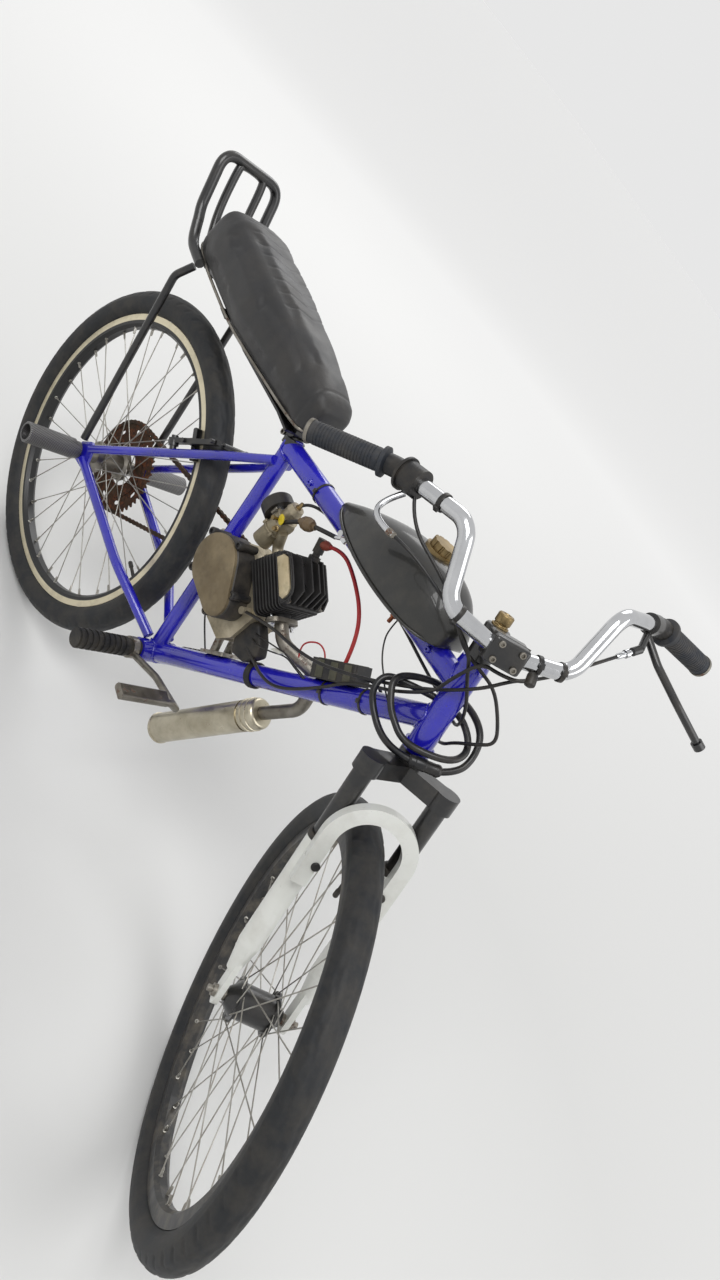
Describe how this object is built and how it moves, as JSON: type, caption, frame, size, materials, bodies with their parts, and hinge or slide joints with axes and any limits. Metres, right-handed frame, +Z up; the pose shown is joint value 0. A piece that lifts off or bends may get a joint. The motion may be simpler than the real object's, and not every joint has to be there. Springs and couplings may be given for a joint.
{
  "type": "motorized bicycle",
  "caption": "Motorized bicycle with a small finned engine in the frame, chain drive, suspension fork, long padded seat, grab rail and pegs.",
  "frame": {"origin": "the place on top of the seat, on the centre plane, 60 mm ahead of the rear axle", "axes": "+X forward, +Y to the bicycle's left, +Z up; the front wheel is steered 40 degrees to the right, as it was parked"},
  "size_m": [1.6428, 0.5829, 1.0534],
  "materials": {
    "bare_steel": "satin",
    "black_paint": "satin",
    "black_plastic": "matte",
    "brass": "satin",
    "cast_alloy": "matte",
    "chrome": "polished",
    "cover_tan": "satin",
    "cylinder_grey": "matte",
    "fork_white": "gloss",
    "frame_blue": "gloss",
    "muffler_silver": "satin",
    "rim_black": "satin",
    "rim_silver": "satin",
    "rubber": "matte",
    "rusty_steel": "matte",
    "seat_vinyl": "satin",
    "spoke_steel": "satin",
    "tyre": "matte"
  },
  "bodies": {
    "root": {"head_tube": "frame_blue", "bottom_bracket": "frame_blue", "seat_tube": "frame_blue", "down_tube": "frame_blue", "top_tube": "frame_blue", "chain_stay_right": "frame_blue", "chain_stay_left": "frame_blue", "seat_stay_right": "frame_blue", "seat_stay_left": "frame_blue", "rear_axle": "bare_steel", "axle_pegs": "cast_alloy", "foot_pegs": "rubber", "brake_pedal": "bare_steel", "seat_post": "black_paint", "seat": "seat_vinyl", "seat_bracket": "black_paint", "grab_rail": "black_paint", "rack_struts": "black_paint", "fuel_tank": "black_paint", "fuel_cap": "brass", "fuel_tap": "chrome", "crankcase": "cast_alloy", "clutch_cover": "cover_tan", "magneto_cover": "black_paint", "cylinder": "cylinder_grey", "cylinder_head": "cylinder_grey", "spark_plug": "rubber", "intake_pipe": "cast_alloy", "carburetor": "cast_alloy", "air_filter": "black_plastic", "engine_mounts": "bare_steel", "exhaust_pipe": "bare_steel", "muffler": "muffler_silver", "ignition_box": "black_plastic", "drive_chain": "rusty_steel", "rear_brake": "black_plastic", "fuel_hose": "rubber", "ignition_lead": "rubber", "frame_cables": "rubber", "cable_lock": "rubber"},
    "steering": {"fork_crown": "black_paint", "fork_lowers": "fork_white", "front_axle": "bare_steel", "stem": "black_paint", "handlebar": "chrome", "grips": "rubber", "throttle_housing": "black_plastic", "clutch_lever": "black_paint", "control_box": "black_plastic", "bar_cables": "rubber"},
    "front_wheel": {"front_tyre": "tyre", "front_rim": "rim_black", "front_hub": "black_paint", "front_spokes": "spoke_steel"},
    "rear_wheel": {"rear_tyre": "tyre", "rear_rim": "rim_silver", "rear_hub": "bare_steel", "rear_spokes": "spoke_steel", "rear_sprocket": "rusty_steel"}
  },
  "joints": [
    {"name": "steering_turn", "type": "hinge", "parent": "root", "child": "steering", "pos_m": [0.74377, 0, -0.05298], "axis": [-0.3955, 0, 0.9184], "range_deg": [-5, 85]},
    {"name": "front_wheel_spin", "type": "hinge", "parent": "steering", "child": "front_wheel", "pos_m": [0.9764, -0.02571, -0.5157], "axis": [0.5904, 0.766, 0.2543], "continuous": true},
    {"name": "rear_wheel_spin", "type": "hinge", "parent": "root", "child": "rear_wheel", "pos_m": [-0.06, 0, -0.512], "axis": [0, 1, 0], "continuous": true}
  ]
}
